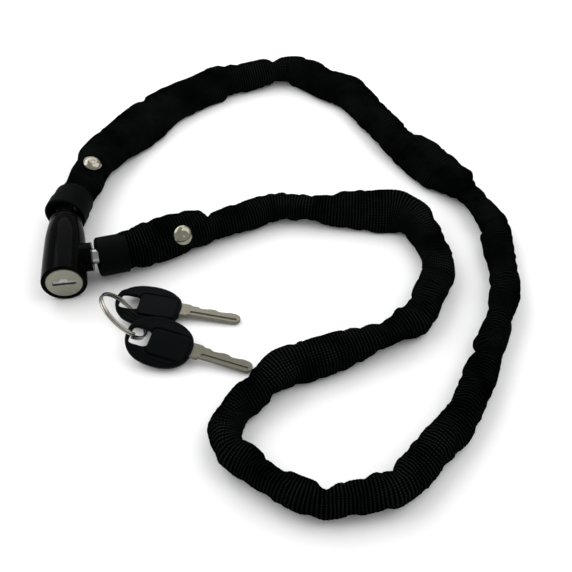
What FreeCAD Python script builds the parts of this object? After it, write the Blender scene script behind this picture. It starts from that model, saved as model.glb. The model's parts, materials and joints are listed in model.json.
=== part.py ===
import FreeCAD, Part
import Sketcher
import math
import os

# A sleeved chain lock with a barrel lock body, a side bolt, and two keys on a split ring.
# Origin: centre of the key face. +Y runs along the lock body, +X out of the side port,
# +Z up. Millimetres. The lock lies on a surface at z = -body_r.

V = FreeCAD.Vector
X_AXIS, Y_AXIS, Z_AXIS = V(1, 0, 0), V(0, 1, 0), V(0, 0, 1)

os.makedirs("parts", exist_ok=True)
doc = FreeCAD.newDocument("chain_lock")
sheet = doc.addObject("Spreadsheet::Sheet", "sizes")

SIZES = [
    ("body_r", 11.5, "lock body radius at the key face"),
    ("body_waist_r", 10.6, "body radius two fifths of the way back"),
    ("body_shoulder_r", 8.8, "body radius where the dome starts"),
    ("body_waist_y", 28, "waist position"),
    ("body_shoulder_y", 43, "dome start"),
    ("body_end_y", 51, "end of the dome"),
    ("neck_r", 4.8, "neck that carries the chain"),
    ("neck_end_y", 60, "end of the neck's two ears"),
    ("shell_wall", 1.2, "wall of the outer jacket"),
    ("glue_gap", 0.1, "gap between jacket and case"),
    ("rim_depth", 1.0, "front ring thickness"),
    ("boss_r", 7.4, "side port boss radius"),
    ("boss_end_x", 14.2, "outer face of the boss"),
    ("bolt_y", 17.5, "bolt axis, measured back from the key face"),
    ("bolt_r", 4.0, "bolt radius"),
    ("bolt_nose_x", 5.5, "inner end of the bolt"),
    ("groove_near_x", 6.5, "bolt groove, inner side"),
    ("groove_far_x", 8.4, "bolt groove, outer side"),
    ("groove_r", 2.6, "bolt radius in its groove"),
    ("head_r", 9.3, "visible face of the plug"),
    ("head_back_y", 5.0, "back of the plug's head"),
    ("core_r", 4.8, "plug core radius"),
    ("core_end_y", 27, "end of the plug core"),
    ("cam_r", 4.5, "cam radius on the tail"),
    ("cam_mid_y", 29.2, "middle height of the cam's slanted face"),
    ("run_gap", 0.06, "radial running clearance"),
    ("key_slot_w", 11.6, "keyway width in the face"),
    ("key_slot_high", 2.4, "keyway height in the face"),
    ("blade_w", 7.6, "key blade width"),
    ("blade_t", 2.0, "key blade thickness"),
    ("latch_x", 6.6, "latch bar, inner side"),
    ("latch_t", 1.7, "latch bar thickness"),
    ("latch_w", 3.6, "latch bar width"),
    ("latch_tip_y", 22.4, "latch tip when unlocked"),
    ("latch_travel", 2.0, "latch travel for a quarter turn"),
    ("pin_a_y", 56, "anchor pin behind the dome"),
    ("pin_b_x", 25, "chain pin on the bolt"),
    ("pin_r", 1.5, "chain pin radius"),
    ("wire", 3.0, "chain wire diameter"),
    ("link_inside", 15.4, "inside length of a link"),
    ("link_gap_w", 5.8, "inside width of a link"),
    ("collar_r", 11.3, "collar outside radius"),
    ("sleeve_r", 8.0, "fabric sleeve radius"),
    ("sleeve_t", 0.8, "fabric thickness"),
    ("cuff_r", 8.3, "doubled end of the sleeve"),
    ("cap_r", 5.1, "rivet cap radius"),
    ("bow_l", 33, "key bow length"),
    ("bow_w", 25.8, "key bow width"),
    ("bow_t", 4.2, "key bow thickness"),
    ("ring_r", 14.0, "split ring mean radius"),
]

for row, (alias, number, note) in enumerate(SIZES, start=1):
    sheet.set("A%d" % row, note)
    sheet.set("B%d" % row, str(number))
    sheet.setAlias("B%d" % row, alias)
doc.recompute()


class Dim:
    """A size that carries its number and the spreadsheet formula that gives it."""

    def __init__(self, number, text):
        self.number = float(number)
        self.text = text

    def joined(self, other, sign, number):
        text = other.text if isinstance(other, Dim) else repr(float(other))
        return Dim(number, "(%s %s %s)" % (self.text, sign, text))

    def __add__(self, other):
        return self.joined(other, "+", self.number + float(other))

    def __sub__(self, other):
        return self.joined(other, "-", self.number - float(other))

    def __mul__(self, other):
        return self.joined(other, "*", self.number * float(other))

    def __float__(self):
        return self.number


class Sizes:
    """Gives every spreadsheet cell by name, as a Dim."""

    def __getattr__(self, alias):
        return Dim(sheet.get(alias), "sizes." + alias)


d = Sizes()
nodes = {}


def keep(label, obj):
    """Names a finished sub-part; the label is also its file's name."""
    obj.Label = label
    nodes[label] = obj
    return obj


def bind(obj, **sizes):
    """Sets properties from sizes, tied to the spreadsheet where they are Dims."""
    for name, size in sizes.items():
        setattr(obj, name, float(size))
        if isinstance(size, Dim):
            obj.setExpression(name, size.text)


def turned_to(axis):
    """Rotation that takes +Z to the axis."""
    return FreeCAD.Rotation(Z_AXIS, axis)


def cylinder(name, radius, length, base, axis=Z_AXIS):
    obj = doc.addObject("Part::Cylinder", name)
    bind(obj, Radius=radius, Height=length)
    obj.Placement = FreeCAD.Placement(base, turned_to(axis))
    return obj


def box(name, size_x, size_y, size_z, corner):
    obj = doc.addObject("Part::Box", name)
    bind(obj, Length=size_x, Width=size_y, Height=size_z)
    obj.Placement.Base = corner
    return obj


def fused(name, pieces):
    obj = doc.addObject("Part::MultiFuse", name)
    obj.Shapes = pieces
    return obj


def cut(name, base, tools):
    obj = doc.addObject("Part::Cut", name)
    obj.Base = base
    obj.Tool = tools[0] if len(tools) == 1 else fused(name + "_tools", tools)
    return obj


def common(name, base, tool):
    obj = doc.addObject("Part::Common", name)
    obj.Base = base
    obj.Tool = tool
    return obj


def origin_plane(body, role):
    return next(f for f in body.Origin.OriginFeatures if f.Role == role)


def edge_ends(sketch, index, start):
    """Point numbers of an edge's start and end; an arc may be stored the other way round."""
    if sketch.getPoint(index, 1).distanceToPoint(start) < 1e-6:
        return 1, 2
    return 2, 1


def closed_sketch(body, name, points, role="XY_Plane"):
    """A closed sketch through points; a third item on a point bulges the edge after it."""
    sketch = body.newObject("Sketcher::SketchObject", name)
    sketch.AttachmentSupport = (origin_plane(body, role), "")
    sketch.MapMode = "FlatFace"
    corners = [V(float(p[0]), float(p[1]), 0) for p in points]
    for i, here in enumerate(corners):
        there = corners[(i + 1) % len(corners)]
        if len(points[i]) == 3:
            across = (there - here).cross(Z_AXIS).normalize()
            middle = (here + there) * 0.5 + across * float(points[i][2])
            sketch.addGeometry(Part.Arc(here, middle, there), False)
        else:
            sketch.addGeometry(Part.LineSegment(here, there), False)
    ends = [edge_ends(sketch, i, corner) for i, corner in enumerate(corners)]
    for i, point in enumerate(points):
        after = (i + 1) % len(points)
        sketch.addConstraint(Sketcher.Constraint("Coincident", i, ends[i][1], after, ends[after][0]))
        for kind, size in (("DistanceX", point[0]), ("DistanceY", point[1])):
            at = sketch.addConstraint(Sketcher.Constraint(kind, -1, 1, i, ends[i][0], float(size)))
            if isinstance(size, Dim):
                sketch.setExpression("Constraints[%d]" % at, size.text)
    return sketch


def turned_body(name, points):
    """Turns an outline of (radius, y) points about the Y axis."""
    body = doc.addObject("PartDesign::Body", name)
    sketch = closed_sketch(body, name + "_outline", points)
    turn = body.newObject("PartDesign::Revolution", name + "_turn")
    turn.Profile = sketch
    turn.ReferenceAxis = (sketch, ["V_Axis"])
    turn.Angle = 360
    body.Tip = turn
    return body


def padded_body(name, points, depth, role="XY_Plane", both_ways=True):
    """Pads a closed outline, to both sides of its plane or upwards from it."""
    body = doc.addObject("PartDesign::Body", name)
    pad = body.newObject("PartDesign::Pad", name + "_pad")
    pad.Profile = closed_sketch(body, name + "_outline", points, role)
    bind(pad, Length=depth)
    pad.Midplane = both_ways
    body.Tip = pad
    return body


def soft_solid(name, shape):
    """A feature whose shape comes straight from Part's own functions."""
    obj = doc.addObject("Part::Feature", name)
    obj.Shape = shape
    return obj


# ---------------------------------------------------------------- lock body

def jacket_outline(inset):
    """Bullet outline of the lock body, moved inwards by inset."""
    neck = d.neck_r + 0.4
    tip = neck - inset
    return [(0, d.rim_depth), (d.body_r - inset, d.rim_depth, 0.15),
            (d.body_waist_r - inset, d.body_waist_y, 0.3),
            (d.body_shoulder_r - inset, d.body_shoulder_y, 1.1),
            (tip, d.body_end_y - inset), (0, d.body_end_y - inset)]


def make_body_shell():
    """Gloss jacket with the side port's boss."""
    boss_length = d.boss_end_x - 2
    boss = cylinder("shell_boss", d.boss_r, boss_length, V(2, float(d.bolt_y), 0), X_AXIS)
    skin = fused("shell_outside", [turned_body("shell_turned", jacket_outline(0)), boss])
    hollow = turned_body("shell_hollow", jacket_outline(float(d.shell_wall)))
    port = cylinder("shell_port", d.bolt_r + 0.5, 30, V(0, float(d.bolt_y), 0), X_AXIS)
    neck_hole = cylinder("shell_neck_hole", d.neck_r + 0.15, 30, V(0, 30, 0), Y_AXIS)
    keep("body_shell", cut("shell", skin, [hollow, port, neck_hole]))


def make_front_ring():
    """Black ring that closes the jacket round the plug's face."""
    outline = [(d.head_r + 0.2, 0.3), (d.head_r + 0.5, 0), (d.body_r - 0.8, 0, 0.2),
               (d.body_r, 0.8), (d.body_r, d.rim_depth), (d.head_r + 0.2, d.rim_depth)]
    keep("front_ring", turned_body("front_ring_turned", outline))


CAM_SLOPE = 0.442       # rise of the cam's slanted face, per mm
CHAMBER_END_Y = 39      # back of the cam chamber
GROOVE_DEPTH = 0.75     # case grooves that the wafers drop into
EAR_DEPTH = 5.4         # from a chain pin to the bottom of the slot between its ears
STOP_X = -5.0           # axis of the pin that holds the plug in


def ear_slot(name, start, length, along):
    """Space between two ears for a flat link."""
    half_gap = 2.0
    if along == "y":
        return box(name, 14, length, 2 * half_gap, V(-7, start, -half_gap))
    return box(name, length, 14, 2 * half_gap, V(start, float(d.bolt_y) - 7, -half_gap))


def make_lock_case():
    """Cast case: bores for the plug and the bolt, a channel for the latch, and the chain's neck."""
    inset = float(d.shell_wall) + float(d.glue_gap)
    neck_start = 40
    neck = cylinder("case_neck", d.neck_r, d.neck_end_y - neck_start, V(0, neck_start, 0), Y_AXIS)
    solid = fused("case_solid", [turned_body("case_turned", jacket_outline(inset)), neck])
    gap = float(d.run_gap)
    slack = 0.1
    core_start = float(d.head_back_y) - 0.1
    channel_w = d.latch_w + 2 * slack
    channel_z = -float(channel_w) / 2
    channel_start = float(d.latch_tip_y) - float(d.latch_travel) - 0.3
    groove_far = float(d.core_r) + GROOVE_DEPTH
    tools = [
        cylinder("head_bore", d.head_r + gap, d.head_back_y + 0.05, V(0, 0, 0), Y_AXIS),
        cylinder("core_bore", d.core_r + gap, d.core_end_y - core_start + 0.05, V(0, core_start, 0), Y_AXIS),
        cylinder("cam_chamber", 6.0, CHAMBER_END_Y - d.core_end_y.number,
                 V(0, float(d.core_end_y), 0), Y_AXIS),
        box("latch_channel", d.latch_t + 2 * slack, 36 - channel_start, channel_w,
            V(float(d.latch_x) - slack, channel_start, channel_z)),
        box("latch_window", d.latch_x, 5.6, channel_w, V(0.5, 30.3, channel_z)),
        cylinder("bolt_bore", d.bolt_r + slack, 20,
                 V(float(d.bolt_nose_x) - slack, float(d.bolt_y), 0), X_AXIS),
        box("wafer_groove_side", GROOVE_DEPTH + 1, 18.6, 6.2, V(-groove_far, 6.2, -3.1)),
        box("wafer_groove_under", 6.2, 18.6, GROOVE_DEPTH + 1, V(-3.1, 6.2, -groove_far)),
        cylinder("stop_pin_hole", 0.8, 20, V(STOP_X, 25.8, -10), Z_AXIS),
        ear_slot("neck_slot", float(d.pin_a_y) - EAR_DEPTH, 12, "y"),
        cylinder("anchor_hole", d.pin_r + 0.05, 12, V(0, float(d.pin_a_y), -6), Z_AXIS),
    ]
    keep("lock_case", cut("case", solid, tools))
    keep("plug_stop_pin", cylinder("plug_stop", 0.75, 14, V(STOP_X, 25.8, -7), Z_AXIS))
    keep("anchor_pin", cylinder("anchor", d.pin_r, 8.4, V(0, float(d.pin_a_y), -4.2), Z_AXIS))


# ---------------------------------------------------------------- plug, shutter and wafers

WAFER_COUNT = 5
WAFER_FIRST_Y = 8.0
WAFER_PITCH = 3.4
WAFER_T = 1.0
HINGE_Y, HINGE_Z = 1.6, 1.6     # shutter hinge, above the keyway


def wafer_y(number):
    return WAFER_FIRST_Y + WAFER_PITCH * number


def make_plug():
    """Turned plug with a wide face, keyway, wafer slots and a slanted cam on its tail."""
    core, head = d.core_r, d.head_r
    tail_end = 32
    outline = [(0, 0.15), (head - 0.3, 0.15), (head, 0.45), (head, d.head_back_y), (core, d.head_back_y),
               (core, 24.9), (core - 0.7, 24.9), (core - 0.7, 26.7), (core, 26.7), (core, d.core_end_y),
               (d.cam_r, d.core_end_y), (d.cam_r, tail_end), (0, tail_end)]
    turned = turned_body("plug_turned", outline)
    slot_w, slot_h = d.key_slot_w, d.key_slot_high
    notch = padded_body("plug_notch", [(-2.4, 1.0), (2.4, 1.0), (1.4, 2.9), (-1.4, 2.9)], 2.4, "XZ_Plane")
    tools = [
        box("keyway_face", slot_w, 2, slot_h, V(-float(slot_w) / 2, -0.5, -float(slot_h) / 2)),
        box("shutter_pocket", slot_w + 0.2, 3.7, 3.7, V(-float(slot_w) / 2 - 0.1, 0.9, -1.3)),
        box("keyway_core", d.blade_w + 0.5, 20.4, d.blade_t + 0.3, V(-4.05, 4.4, -1.15)),
        cylinder("hinge_hole", 0.35, 13.0, V(-6.5, HINGE_Y, HINGE_Z), X_AXIS),
        notch,
        cam_cutter(tail_end),
    ]
    for number in range(WAFER_COUNT):
        corner = V(-6, wafer_y(number) - 0.1, -3.1)
        tools.append(box("wafer_slot_%d" % (number + 1), 12, WAFER_T + 0.2, 6.2, corner))
    keep("plug", cut("plug_cut", turned, tools))


def cam_cutter(tail_end):
    """Block whose slanted near face is the cam; it is highest towards +X +Z when unlocked."""
    width = 30
    block = box("cam_block", width, 10, width, V(-width / 2, 0, -width / 2))
    slope = math.degrees(math.atan(CAM_SLOPE))
    tilt = FreeCAD.Rotation(V(1, 0, -1), -slope)
    block.Placement = FreeCAD.Placement(V(0, float(d.cam_mid_y), 0), tilt).multiply(block.Placement)
    return block


def make_wafers():
    """Flat wafers with a window for the blade; their ends follow the core's circle."""
    for number in range(WAFER_COUNT):
        name = "wafer_%d" % (number + 1)
        y = wafer_y(number)
        disc = cylinder(name + "_disc", d.core_r - 0.05, WAFER_T, V(0, y, 0), Y_AXIS)
        strip = box(name + "_strip", 12, WAFER_T, 6.0, V(-6, y, -3.0))
        window = box(name + "_window", d.blade_w + 0.2, 3, d.blade_t + 0.3, V(-3.9, y - 1, -1.15))
        keep(name, cut(name + "_cut", common(name + "_blank", disc, strip), [window]))


def make_shutter():
    """Sprung flap behind the keyway, with its hinge pin."""
    flap_low = -0.95
    flap = box("flap", 11.2, 0.5, HINGE_Z - flap_low, V(-5.6, 1.05, flap_low))
    barrel = cylinder("flap_barrel", 0.6, 11.2, V(-5.6, HINGE_Y, HINGE_Z), X_AXIS)
    bore = cylinder("flap_bore", 0.36, 12, V(-6, HINGE_Y, HINGE_Z), X_AXIS)
    keep("dust_shutter", cut("flap_cut", fused("flap_blank", [flap, barrel]), [bore]))
    keep("shutter_pin", cylinder("flap_pin", 0.3, 12.6, V(-6.3, HINGE_Y, HINGE_Z), X_AXIS))


def make_latch():
    """L-shaped bar; its foot rides on the cam and its tip drops into the bolt's groove."""
    near, far = d.latch_x, d.latch_x + d.latch_t
    arm_front, arm_back, arm_end = 32.6, 34.6, 1.5
    outline = [(near, d.latch_tip_y), (far, d.latch_tip_y), (far, arm_back),
               (arm_end, arm_back), (arm_end, arm_front), (near, arm_front)]
    bar = padded_body("latch_bar", outline, d.latch_w)
    foot_x, foot_tip = 3.2, 30.6
    foot = cylinder("latch_foot", 0.6, arm_front - foot_tip + 0.2, V(foot_x, foot_tip, 0), Y_AXIS)
    keep("latch", fused("latch_solid", [bar, foot]))


def make_latch_spring():
    """Flat serpentine spring between the latch's arm and the back of the cam chamber."""
    near_x, far_x, first_y, pitch, folds = 1.7, 5.1, 35.1, 0.9, 4
    thickness, width = 0.3, 2.6
    strip = []
    for fold in range(folds + 1):
        ends = [near_x, far_x] if fold % 2 == 0 else [far_x, near_x]
        strip += [(x, first_y + fold * pitch) for x in ends]
    keep("latch_spring", padded_body("latch_strip", strip_outline(strip, thickness), width))


def strip_outline(line, thickness):
    """Closed outline of a strip of even thickness along a line with square bends."""
    sides = ([], [])
    for i, (x, y) in enumerate(line):
        before, after = line[max(i - 1, 0)], line[min(i + 1, len(line) - 1)]
        into = V(x - before[0], y - before[1], 0)
        out = V(after[0] - x, after[1] - y, 0)
        headings = [v.normalize() for v in (into, out) if v.Length > 0]
        offset = V(0, 0, 0)
        for heading in headings:
            across = Z_AXIS.cross(heading) * (thickness / 2)
            if offset.dot(across) < thickness ** 2 / 8:
                offset += across
        sides[0].append((x + offset.x, y + offset.y))
        sides[1].append((x - offset.x, y - offset.y))
    return sides[0] + sides[1][::-1]


def coil_spring(name, radius, wire_r, length, turns, place):
    """Round-wire compression spring along its own +Z."""
    helix = Part.makeHelix(length / turns, length, radius)
    circle = Part.Wire([Part.Circle(V(radius, 0, 0), Y_AXIS, wire_r).toShape()])
    pipe = Part.Wire(helix.Edges).makePipeShell([circle], True, True)
    spring = soft_solid(name, pipe)
    spring.Placement = place
    return spring


# ---------------------------------------------------------------- bolt end

def make_bolt():
    """Steel bolt: nose, latch groove, shank, and two ears for the last link."""
    r, shank_end, ears_start, ears_end = d.bolt_r, 17.5, 18.5, 29.4
    outline = [(0, d.bolt_nose_x), (r - 0.4, d.bolt_nose_x), (r, d.bolt_nose_x + 0.4), (r, d.groove_near_x),
               (d.groove_r, d.groove_near_x), (d.groove_r, d.groove_far_x), (r, d.groove_far_x),
               (r, shank_end), (d.neck_r, ears_start), (d.neck_r, ears_end), (0, ears_end)]
    turned = turned_body("bolt_turned", outline)
    turned.Placement = FreeCAD.Placement(V(0, float(d.bolt_y), 0), FreeCAD.Rotation(Z_AXIS, -90))
    slot_start = float(d.pin_b_x) - EAR_DEPTH
    hole = cylinder("bolt_pin_hole", d.pin_r + 0.05, 12, V(float(d.pin_b_x), float(d.bolt_y), -6), Z_AXIS)
    keep("bolt", cut("bolt_cut", turned, [ear_slot("bolt_slot", slot_start, 12, "x"), hole]))
    base = V(float(d.pin_b_x), float(d.bolt_y), -4.2)
    keep("bolt_pin", cylinder("bolt_pin_solid", d.pin_r, 8.4, base, Z_AXIS))


# ---------------------------------------------------------------- route of the sleeve and chain

# Centre line of the sleeve, from the lock's neck round to the bolt, on the surface it lies on.
FLOOR_Z = -float(d.body_r)
LYING = FLOOR_Z + float(d.sleeve_r)
ROUTE = [
    V(1.5, 57, 0), V(9, 79, -0.8), V(19, 102, -1.8), V(43, 133, LYING), V(72, 160, LYING),
    V(103, 174, LYING), V(126, 178.5, LYING), V(139, 180.5, LYING), V(150, 173.5, LYING),
    V(162, 161.5, LYING), V(177, 147, LYING), V(184, 120, LYING), V(192, 94, LYING),
    V(207, 67, LYING), V(221, 46, LYING), V(229, 16, LYING), V(223, -15, LYING),
    V(217, -41, LYING), V(200, -67, LYING), V(186, -92, LYING), V(167, -114, LYING),
    V(141, -138, LYING), V(119, -139, LYING), V(98, -136, LYING), V(80, -117, LYING),
    V(70.5, -108.5, LYING), V(68.5, -96.5, LYING), V(73.5, -85, LYING), V(88, -77.5, LYING),
    V(102, -67, LYING), V(132, -61, LYING), V(162, -50, LYING), V(178, -37, LYING),
    V(193, -9, LYING), V(191, 16, LYING), V(182, 32, LYING), V(164, 35, LYING),
    V(139, 40, LYING), V(114, 48.5, LYING), V(88, 39, LYING), V(62, 31, -2.6),
    V(41, 21, -1.4), V(25, 17.5, 0),
]


def corner_arc(before, corner, after):
    """Tangent arc at a corner of the route: its ends, middle and radius."""
    into, out = corner - before, after - corner
    trim = 0.45 * min(into.Length, out.Length)
    into.normalize()
    out.normalize()
    half_turn = into.getAngle(out) / 2
    radius = trim / math.tan(half_turn)
    inward = (out - into).normalize()
    middle = corner + inward * (radius / math.cos(half_turn) - radius)
    return corner - into * trim, middle, corner + out * trim, radius


def rounded_path(points, first=0, last=None):
    """Straight runs joined by tangent arcs, from the middle of run first to that of run last.

    Run 0 is taken from its start, and the last run, when last is None, to its end."""
    final = len(points) - 2
    last_run = final if last is None else last
    here = points[0] if first == 0 else (points[first] + points[first + 1]) * 0.5
    edges = []
    for k in range(first + 1, last_run + 1):
        start, middle, end, radius = corner_arc(points[k - 1], points[k], points[k + 1])
        edges.append(Part.LineSegment(here, start).toShape())
        edges.append(Part.Arc(start, middle, end).toShape())
        here = end
    finish = points[-1] if last is None else (points[last] + points[last + 1]) * 0.5
    edges.append(Part.LineSegment(here, finish).toShape())
    return Part.Wire(edges)


def hollow_tube(path, radius, wall):
    """Fabric tube swept along a path of lines and arcs, compared with section times length."""
    start, away = path.Edges[0].valueAt(path.Edges[0].FirstParameter), path.Edges[0].tangentAt(0)
    solids = []
    for r in (radius, radius - wall):
        ring = Part.Wire([Part.Circle(start, away, r).toShape()])
        solids.append(path.makePipeShell([ring], True, True))
    tube = solids[0].cut(solids[1])
    expected = math.pi * (radius ** 2 - (radius - wall) ** 2) * path.Length
    share = tube.Volume / expected
    print("tube of radius %.1f: length %.1f, volume over expected %.4f" % (radius, path.Length, share))
    return tube


CUFF_A_LAST_RUN = 2      # the doubled end A stops in the middle of this run
CUFF_B_FIRST_RUN = 39    # and the doubled end B starts in the middle of this one
SLEEVE_LAST_RUN = 38


def print_radii():
    for k in range(1, len(ROUTE) - 1):
        radius = corner_arc(ROUTE[k - 1], ROUTE[k], ROUTE[k + 1])[3]
        print("route point %d %s: radius %.1f" % (k, tuple(ROUTE[k]), radius))


# ---------------------------------------------------------------- rivets and collars

def rivet_site(start, toward, distance, roll):
    """Centre and outward direction of a rivet through the sleeve."""
    along = (toward - start).normalize()
    up = FreeCAD.Rotation(along, roll).multVec(Z_AXIS)
    return start + along * distance, up


def make_rivet(name, centre, up):
    """Domed cap and post in one turned piece, and a washer on the far side."""
    cap_r, skin = d.cap_r, d.cuff_r + 0.4
    post_end = -9.0
    outline = [(0, skin + 2.0), (0, post_end), (1.4, post_end), (1.4, skin),
               (cap_r - 0.3, skin), (cap_r, skin + 0.35, 0.75), (0.6, skin + 2.0)]
    cap = turned_body(name + "_cap_turned", outline)
    washer_outline = [(1.45, post_end), (2.6, post_end), (2.6, -8.4), (1.45, -8.4)]
    washer = turned_body(name + "_washer_turned", washer_outline)
    place = FreeCAD.Placement(centre, FreeCAD.Rotation(Y_AXIS, up))
    cap.Placement = place
    washer.Placement = place
    keep(name + "_cap", cap)
    keep(name + "_washer", washer)


def make_collar(name, outline, pivot, toward):
    """Rubber collar turned about the strand's direction."""
    collar = turned_body(name + "_turned", outline)
    collar.Placement = FreeCAD.Placement(pivot, FreeCAD.Rotation(Y_AXIS, toward - pivot))
    keep(name, collar)


RIVET_A_AT, RIVET_A_ROLL = 32.0, 20
RIVET_B_AT, RIVET_B_ROLL = 36.0, -50


def make_lock_side_ends():
    """Collar, doubled cuff and rivet at the lock's neck."""
    r = d.collar_r
    outline = [(10.0, -6.5), (r - 0.3, -6.5), (r, -6.1), (r, 0.5), (r - 0.6, 1.1), (r - 0.6, 8.2, 0.3),
               (r - 1.8, 9.4), (9.0, 9.4), (9.0, 7.6), (10.0, 7.6)]
    make_collar("collar_a", outline, ROUTE[0], ROUTE[1])
    centre, up = rivet_site(ROUTE[1], ROUTE[2], RIVET_A_AT - (ROUTE[1] - ROUTE[0]).Length, RIVET_A_ROLL)
    make_rivet("rivet_a", centre, up)
    path = rounded_path([ROUTE[0] + (ROUTE[1] - ROUTE[0]) * 0.2] + ROUTE[1:], 0, CUFF_A_LAST_RUN)
    tube = hollow_tube(path, float(d.cuff_r), float(d.sleeve_t))
    keep("cuff_a", soft_solid("cuff_a_tube", tube.cut(rivet_hole(centre, up))))


def rivet_hole(centre, up):
    length = 24
    return Part.makeCylinder(1.7, length, centre - up * (length / 2), up)


def make_bolt_side_ends():
    """Collar, doubled cuff and rivet at the bolt."""
    outline = [(6.4, -8.5), (8.8, -8.5, 0.4), (10.2, -7.1), (10.2, 6.2), (9.9, 6.5), (9.0, 6.5),
               (9.0, -6.7), (6.4, -6.7)]
    end, beside = ROUTE[-1], ROUTE[-2]
    make_collar("collar_b", outline, end, beside)
    run = (ROUTE[-3] - ROUTE[-2]).Length + 16.4
    centre, up = rivet_site(ROUTE[-3], ROUTE[-2], run - RIVET_B_AT, RIVET_B_ROLL)
    make_rivet("rivet_b", centre, up)
    backwards = [end + (beside - end) * 0.2] + ROUTE[-2::-1]
    path = rounded_path(backwards, 0, len(ROUTE) - 2 - CUFF_B_FIRST_RUN)
    tube = hollow_tube(path, float(d.cuff_r), float(d.sleeve_t))
    keep("cuff_b", soft_solid("cuff_b_tube", tube.cut(rivet_hole(centre, up))))


def make_sleeve():
    path = rounded_path(ROUTE, CUFF_A_LAST_RUN, SLEEVE_LAST_RUN)
    keep("chain_sleeve", soft_solid("sleeve_tube", hollow_tube(path, float(d.sleeve_r), float(d.sleeve_t))))


# ---------------------------------------------------------------- chain

LINK_COUNT = 71
SLACK_JOINTS = 4        # link joints near the bolt that close up as the bolt is pulled out
SLACK_FROM = 63         # the first link of the slack stretch
END_LINKS = 3           # links behind the slack stretch that move with the bolt


def link_solid():
    """One oval link of round wire, long along X, flat in the XY plane."""
    wire_r = float(d.wire) / 2
    bend_r = float(d.link_gap_w) / 2 + wire_r
    straight = float(d.link_inside) - float(d.link_gap_w)
    parts = []
    for side in (1, -1):
        turn = FreeCAD.Placement(V(side * straight / 2, 0, 0), FreeCAD.Rotation(Z_AXIS, -90 * side))
        bend = Part.makeTorus(bend_r, wire_r, V(0, 0, 0), Z_AXIS, -180, 180, 180)
        bend.Placement = turn
        leg = Part.makeCylinder(wire_r, straight, V(-straight / 2, side * bend_r, 0), X_AXIS)
        parts += [bend, leg]
    return parts[0].multiFuse(parts[1:]).removeSplitter()


def chain_places():
    """Position and turn of every link along the chain's route, at rest."""
    pins = [V(0, float(d.pin_a_y), 0)] + ROUTE[1:-1] + [V(float(d.pin_b_x), float(d.bolt_y), 0)]
    path = rounded_path(pins)
    steps = 8000

    def at(length):
        return samples[max(0, min(steps, round(length / total * steps)))]

    samples = path.discretize(Number=steps + 1)
    at_pin = float(d.link_inside) / 2 - float(d.pin_r) - 0.2
    total = path.Length
    pitch = (total - 2 * at_pin) / (LINK_COUNT - 1)
    print("chain path %.1f, link pitch %.2f" % (total, pitch))
    places = []
    along = at_pin
    for number in range(LINK_COUNT):
        ahead, behind = at(along + pitch / 2), at(along - pitch / 2)
        heading = (ahead - behind).normalize()
        centre = (ahead + behind) * 0.5
        if number in (0, LINK_COUNT - 1):
            pin, inward = (pins[0], heading) if number == 0 else (pins[-1], heading * -1)
            centre = pin + inward * at_pin
        level = Z_AXIS.cross(heading).normalize()
        flat = FreeCAD.Rotation(heading, level, heading.cross(level), "XYZ")
        roll = FreeCAD.Rotation(X_AXIS, 90 * number + twist(number))
        places.append(FreeCAD.Placement(centre, flat.multiply(roll)))
        along += pitch
    return places


def twist(number):
    """Slow twist of the chain: flat at both pins, square to each rivet on the way."""
    rivet_a, rivet_b, last = 2, LINK_COUNT - 3, LINK_COUNT - 1
    if number <= rivet_a:
        return RIVET_A_ROLL * number / rivet_a
    if number <= rivet_b:
        share = (number - rivet_a) / (rivet_b - rivet_a)
        return RIVET_A_ROLL + (RIVET_B_ROLL - RIVET_A_ROLL) * share
    return RIVET_B_ROLL * (last - number) / (last - rivet_b)


def make_chain():
    link = link_solid()
    placed = []
    for place in chain_places():
        copy = link.copy()
        copy.Placement = place
        placed.append(copy)
    fixed_end = SLACK_FROM + 1
    keep("chain_links", soft_solid("links_fixed", Part.makeCompound(placed[:fixed_end])))
    for number in range(1, SLACK_JOINTS):
        keep("slack_link_%d" % number, soft_solid("link_slack_%d" % number, placed[fixed_end + number - 1]))
    keep("end_links", soft_solid("links_end", Part.makeCompound(placed[fixed_end + SLACK_JOINTS - 1:])))


# ---------------------------------------------------------------- keys and split ring

RING_WIRE_R = 0.6
RING_PITCH = 1.26
RING_LEAN = 50           # the ring's lean from the surface
RING_ALONG = V(0.283, -0.959, 0).normalize()
RING_ACROSS = V(-0.959, -0.283, 0).normalize()
KEY_SIDES = {1: -1, 2: 1}        # which end of the ring each key hangs on
KEY_HEIGHTS = {1: 5.6, 2: 8.2}   # height of each key's hole: key 2 lies partly over key 1
KEY_YAWS = {1: -17.5, 2: -24.0}
KEY_SHIFTS = {1: V(0.2, 2.2, 0), 2: V(0, 0, 0)}   # off the ring's centre line
KEY_DIPS = {1: 4.5, 2: 7.0}      # each blade's tip rests on the surface
KEY_ROLLS = {1: 0, 2: 13}
HOLE_L, HOLE_W = 10.0, 9.8       # hole in the bow, along and across the key
BOW_MIDDLE = V(9.6, 0.8, 0)      # bow's middle from the hole's centre
BLADE_Y = 1.2                    # blade's axis from the hole's centre


def ring_centre():
    lean = math.radians(RING_LEAN)
    rise = float(d.ring_r) * math.sin(lean) + RING_PITCH * math.cos(lean) + RING_WIRE_R + 0.05
    return V(29.0, -26.8, FLOOR_Z + rise)


def make_ring():
    """Split ring: two flat turns of wire."""
    turns = 2
    start = FreeCAD.Placement()
    spring = coil_spring("ring_wire", float(d.ring_r), RING_WIRE_R, RING_PITCH * turns, turns, start)
    lean = math.radians(RING_LEAN)
    up_side = RING_ACROSS * math.cos(lean) + Z_AXIS * math.sin(lean)
    normal = RING_ALONG.cross(up_side)
    turn = FreeCAD.Rotation(RING_ALONG, up_side, normal, "XYZ")
    spring.Placement = FreeCAD.Placement(ring_centre() - normal * RING_PITCH, turn)
    keep("split_ring", spring)


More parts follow.
